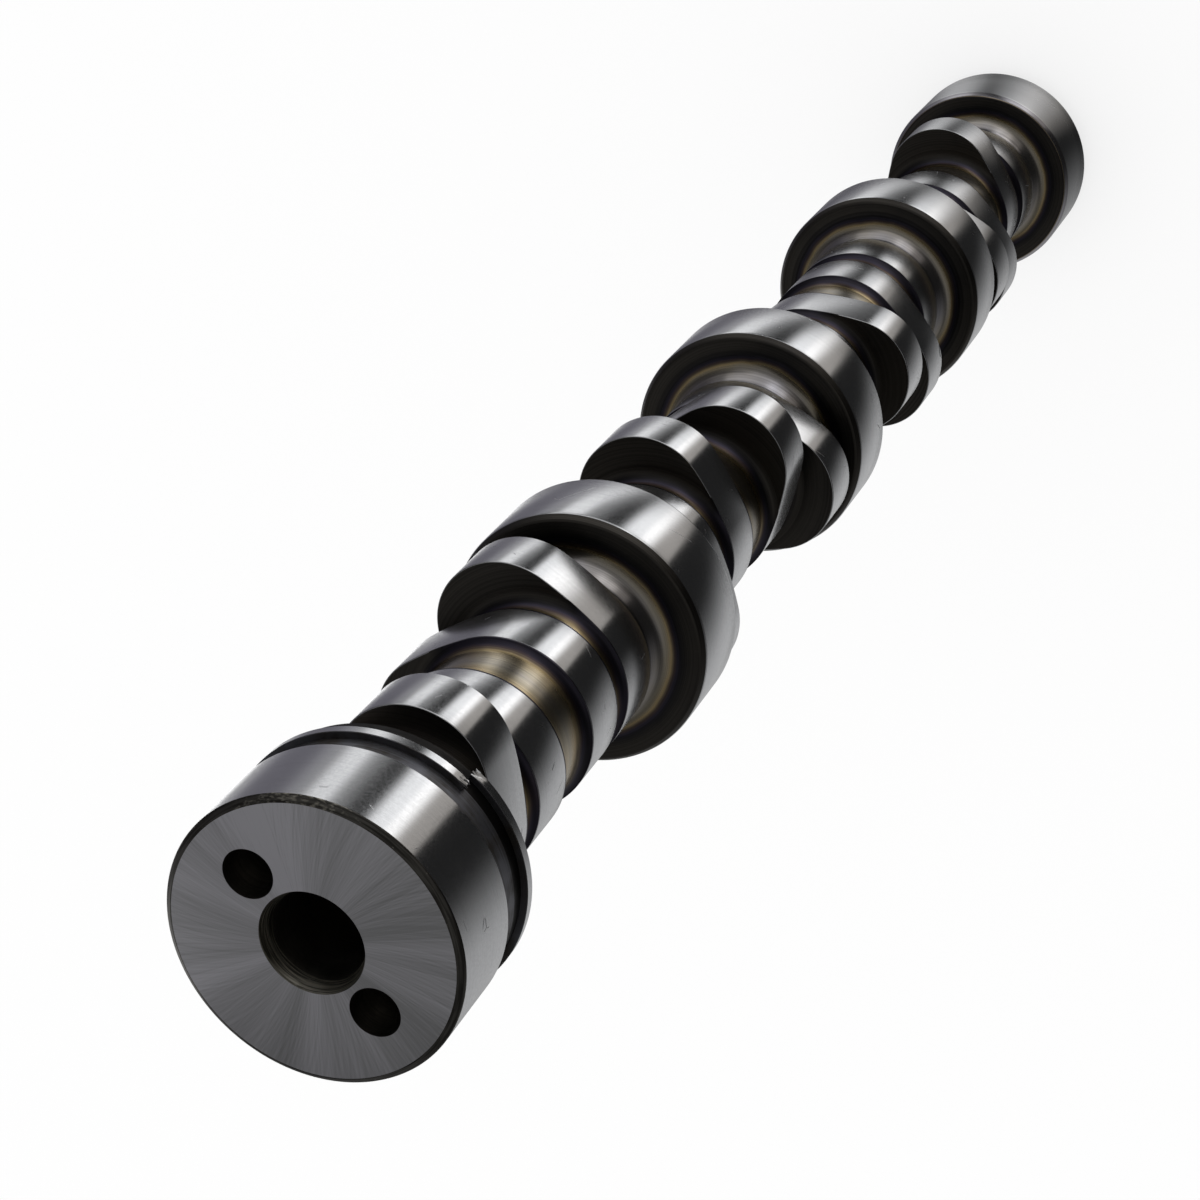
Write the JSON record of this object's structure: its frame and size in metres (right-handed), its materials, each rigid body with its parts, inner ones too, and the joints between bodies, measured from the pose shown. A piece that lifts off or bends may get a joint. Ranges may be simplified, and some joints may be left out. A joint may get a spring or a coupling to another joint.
{
  "type": "camshaft",
  "caption": "Steel camshaft with plain bearing journals, intake and exhaust lobes and a half-ring sensor wheel at its rear end.",
  "frame": {"origin": "on the shaft's axis at the face of the drive hub, which the shaft stands on", "axes": "+Z along the shaft's axis, from the drive end to the drilled rear end; +Y through the two rear holes"},
  "size_m": [0.055, 0.055, 0.488],
  "materials": {
    "camshaft": "ground steel"
  },
  "bodies": {
    "root": {"camshaft": "camshaft"}
  },
  "joints": []
}
